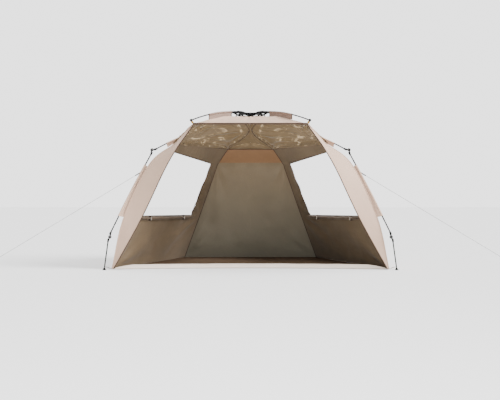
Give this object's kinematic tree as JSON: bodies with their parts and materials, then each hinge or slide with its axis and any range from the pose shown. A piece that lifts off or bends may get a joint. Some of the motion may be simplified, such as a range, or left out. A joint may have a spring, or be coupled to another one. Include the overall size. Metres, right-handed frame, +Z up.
{
  "type": "beach shelter",
  "caption": "Folding-hub beach shelter with jointed legs, an open front, side windows with rolled curtains, a groundsheet and two guy lines.",
  "frame": {"origin": "on the ground under the middle of the shelter, without its guy lines", "axes": "+X to the right seen from the open front, +Y from the open front to the rear wall, +Z up"},
  "size_m": [5.5224, 1.7296, 1.652],
  "materials": {
    "moulded_plastic": "moulded, satin",
    "fibreglass_rod": "smooth pultruded rod",
    "steel_tube": "black powder coat",
    "foot_rubber": "moulded rubber",
    "canopy_cloth": "woven polyester, coated brown inside",
    "wall_cloth": "woven polyester, coated brown inside",
    "trim_cloth": "woven polyester",
    "floor_cloth": "coated groundsheet",
    "strap_webbing": "woven webbing",
    "guy_cord": "braided cord",
    "peg_steel": "black"
  },
  "bodies": {
    "hub": {"hub_crown": "moulded_plastic", "hub_cap": "moulded_plastic", "roof_left": "canopy_cloth", "side_wall_left": "wall_cloth", "front_band_left": "trim_cloth", "curtain_left": "wall_cloth", "sleeve_left": "trim_cloth", "roof_right": "canopy_cloth", "side_wall_right": "wall_cloth", "front_band_right": "trim_cloth", "curtain_right": "wall_cloth", "sleeve_right": "trim_cloth", "rear_wall": "wall_cloth", "floor_sheet": "floor_cloth", "front_sill": "trim_cloth", "guy_line_left": "guy_cord", "guy_line_right": "guy_cord", "guy_peg_left": "peg_steel", "guy_peg_right": "peg_steel"},
    "runner": {"hub_runner": "moulded_plastic"},
    "arm_front_left": {"arm_front_left": "fibreglass_rod", "knee_front_left": "moulded_plastic"},
    "strut_front_left": {"strut_front_left": "moulded_plastic"},
    "leg_front_left": {"leg_front_left": "steel_tube"},
    "lower_leg_front_left": {"ankle_front_left": "moulded_plastic", "lower_leg_front_left": "steel_tube", "foot_front_left": "foot_rubber"},
    "arm_rear_left": {"arm_rear_left": "fibreglass_rod", "knee_rear_left": "moulded_plastic"},
    "strut_rear_left": {"strut_rear_left": "moulded_plastic"},
    "leg_rear_left": {"leg_rear_left": "steel_tube"},
    "lower_leg_rear_left": {"ankle_rear_left": "moulded_plastic", "lower_leg_rear_left": "steel_tube", "foot_rear_left": "foot_rubber"},
    "arm_eave_left": {"arm_eave_left": "fibreglass_rod", "tip_eave_left": "moulded_plastic", "strap_eave_left": "strap_webbing", "web_eave_left": "trim_cloth"},
    "strut_eave_left": {"strut_eave_left": "moulded_plastic"},
    "arm_front_right": {"arm_front_right": "fibreglass_rod", "knee_front_right": "moulded_plastic"},
    "strut_front_right": {"strut_front_right": "moulded_plastic"},
    "leg_front_right": {"leg_front_right": "steel_tube"},
    "lower_leg_front_right": {"ankle_front_right": "moulded_plastic", "lower_leg_front_right": "steel_tube", "foot_front_right": "foot_rubber"},
    "arm_rear_right": {"arm_rear_right": "fibreglass_rod", "knee_rear_right": "moulded_plastic"},
    "strut_rear_right": {"strut_rear_right": "moulded_plastic"},
    "leg_rear_right": {"leg_rear_right": "steel_tube"},
    "lower_leg_rear_right": {"ankle_rear_right": "moulded_plastic", "lower_leg_rear_right": "steel_tube", "foot_rear_right": "foot_rubber"},
    "arm_eave_right": {"arm_eave_right": "fibreglass_rod", "tip_eave_right": "moulded_plastic", "strap_eave_right": "strap_webbing", "web_eave_right": "trim_cloth"},
    "strut_eave_right": {"strut_eave_right": "moulded_plastic"}
  },
  "joints": [
    {"name": "frame_fold", "type": "hinge", "parent": "hub", "child": "arm_front_left", "pos_m": [-0.05977, -0.21371, 1.63], "axis": [0.3575, -0.9339, 0], "range_deg": [0, 59.3], "deforming": ["roof_left", "side_wall_left", "front_band_left", "curtain_left", "sleeve_left", "web_eave_left", "roof_right", "side_wall_right", "front_band_right", "curtain_right", "sleeve_right", "web_eave_right", "rear_wall", "floor_sheet", "front_sill"]},
    {"name": "runner_slide", "type": "slide", "parent": "hub", "child": "runner", "axis": [0, 0, -1], "range_m": [0, 0.1845]},
    {"name": "strut_front_left_pivot", "type": "hinge", "parent": "arm_front_left", "child": "strut_front_left", "pos_m": [-0.18929, -0.26328, 1.63921], "axis": [-0.3575, 0.9339, 0], "range_deg": [0, 101.98]},
    {"name": "knee_front_left_fold", "type": "hinge", "parent": "arm_front_left", "child": "leg_front_left", "pos_m": [-1.00932, -0.57717, 1.21454], "axis": [-0.3575, 0.9339, 0], "range_deg": [0, 215.13]},
    {"name": "ankle_front_left_fold", "type": "hinge", "parent": "leg_front_left", "child": "lower_leg_front_left", "pos_m": [-1.41053, -0.73074, 0.3295], "axis": [0.3575, -0.9339, 0], "range_deg": [0, 152.86]},
    {"name": "arm_rear_left_fold", "type": "hinge", "parent": "hub", "child": "arm_rear_left", "pos_m": [-0.0405, -0.14127, 1.63], "axis": [-0.7743, -0.6328, 0], "range_deg": [0, 45.2]},
    {"name": "strut_rear_left_pivot", "type": "hinge", "parent": "arm_rear_left", "child": "strut_rear_left", "pos_m": [-0.14752, -0.01034, 1.64123], "axis": [0.7743, 0.6328, 0], "range_deg": [0, 74.51]},
    {"name": "knee_rear_left_fold", "type": "hinge", "parent": "arm_rear_left", "child": "leg_rear_left", "pos_m": [-0.44882, 0.35831, 1.15768], "axis": [0.7743, 0.6328, 0], "range_deg": [0, 190.68]},
    {"name": "ankle_rear_left_fold", "type": "hinge", "parent": "leg_rear_left", "child": "lower_leg_rear_left", "pos_m": [-0.65922, 0.61575, 0.55385], "axis": [-0.7743, -0.6328, 0], "range_deg": [0, 169.12]},
    {"name": "arm_eave_left_fold", "type": "hinge", "parent": "hub", "child": "arm_eave_left", "pos_m": [-0.04245, -0.23872, 1.63], "axis": [0.7483, -0.6633, 0], "range_deg": [0, 72.6]},
    {"name": "strut_eave_left_pivot", "type": "hinge", "parent": "arm_eave_left", "child": "strut_eave_left", "pos_m": [-0.12595, -0.33293, 1.63836], "axis": [-0.7483, 0.6633, 0], "range_deg": [0, 128.48]},
    {"name": "arm_front_right_fold", "type": "hinge", "parent": "hub", "child": "arm_front_right", "pos_m": [0.05977, -0.21371, 1.63], "axis": [0.3575, 0.9339, 0], "range_deg": [0, 59.5]},
    {"name": "strut_front_right_pivot", "type": "hinge", "parent": "arm_front_right", "child": "strut_front_right", "pos_m": [0.18929, -0.26328, 1.63921], "axis": [-0.3575, -0.9339, 0], "range_deg": [0, 101.98]},
    {"name": "knee_front_right_fold", "type": "hinge", "parent": "arm_front_right", "child": "leg_front_right", "pos_m": [1.00932, -0.57717, 1.21454], "axis": [-0.3575, -0.9339, 0], "range_deg": [0, 215.13]},
    {"name": "ankle_front_right_fold", "type": "hinge", "parent": "leg_front_right", "child": "lower_leg_front_right", "pos_m": [1.41053, -0.73074, 0.3295], "axis": [0.3575, 0.9339, 0], "range_deg": [0, 152.86]},
    {"name": "arm_rear_right_fold", "type": "hinge", "parent": "hub", "child": "arm_rear_right", "pos_m": [0.0405, -0.14127, 1.63], "axis": [-0.7743, 0.6328, 0], "range_deg": [0, 45.2]},
    {"name": "strut_rear_right_pivot", "type": "hinge", "parent": "arm_rear_right", "child": "strut_rear_right", "pos_m": [0.14752, -0.01034, 1.64123], "axis": [0.7743, -0.6328, 0], "range_deg": [0, 74.51]},
    {"name": "knee_rear_right_fold", "type": "hinge", "parent": "arm_rear_right", "child": "leg_rear_right", "pos_m": [0.44882, 0.35831, 1.15768], "axis": [0.7743, -0.6328, 0], "range_deg": [0, 190.68]},
    {"name": "ankle_rear_right_fold", "type": "hinge", "parent": "leg_rear_right", "child": "lower_leg_rear_right", "pos_m": [0.65922, 0.61575, 0.55385], "axis": [-0.7743, 0.6328, 0], "range_deg": [0, 169.12]},
    {"name": "arm_eave_right_fold", "type": "hinge", "parent": "hub", "child": "arm_eave_right", "pos_m": [0.04245, -0.23872, 1.63], "axis": [0.7483, 0.6633, 0], "range_deg": [0, 72.6]},
    {"name": "strut_eave_right_pivot", "type": "hinge", "parent": "arm_eave_right", "child": "strut_eave_right", "pos_m": [0.12595, -0.33293, 1.63836], "axis": [-0.7483, -0.6633, 0], "range_deg": [0, 128.48]}
  ],
  "couplings": [
    {"joint": "runner_slide", "follows": "frame_fold", "m_per_rad": 0.17778},
    {"joint": "strut_front_left_pivot", "follows": "frame_fold", "ratio": 1.7147},
    {"joint": "knee_front_left_fold", "follows": "frame_fold", "ratio": 3.6194},
    {"joint": "ankle_front_left_fold", "follows": "frame_fold", "ratio": 2.5693},
    {"joint": "arm_rear_left_fold", "follows": "frame_fold", "ratio": 0.75885},
    {"joint": "strut_rear_left_pivot", "follows": "frame_fold", "ratio": 1.2514},
    {"joint": "knee_rear_left_fold", "follows": "frame_fold", "ratio": 3.2071},
    {"joint": "ankle_rear_left_fold", "follows": "frame_fold", "ratio": 2.8436},
    {"joint": "arm_eave_left_fold", "follows": "frame_fold", "ratio": 1.2209},
    {"joint": "strut_eave_left_pivot", "follows": "frame_fold", "ratio": 2.1615},
    {"joint": "arm_front_right_fold", "follows": "frame_fold", "ratio": 1},
    {"joint": "strut_front_right_pivot", "follows": "frame_fold", "ratio": 1.7147},
    {"joint": "knee_front_right_fold", "follows": "frame_fold", "ratio": 3.6194},
    {"joint": "ankle_front_right_fold", "follows": "frame_fold", "ratio": 2.5693},
    {"joint": "arm_rear_right_fold", "follows": "frame_fold", "ratio": 0.75885},
    {"joint": "strut_rear_right_pivot", "follows": "frame_fold", "ratio": 1.2514},
    {"joint": "knee_rear_right_fold", "follows": "frame_fold", "ratio": 3.2071},
    {"joint": "ankle_rear_right_fold", "follows": "frame_fold", "ratio": 2.8436},
    {"joint": "arm_eave_right_fold", "follows": "frame_fold", "ratio": 1.2209},
    {"joint": "strut_eave_right_pivot", "follows": "frame_fold", "ratio": 2.1615}
  ]
}
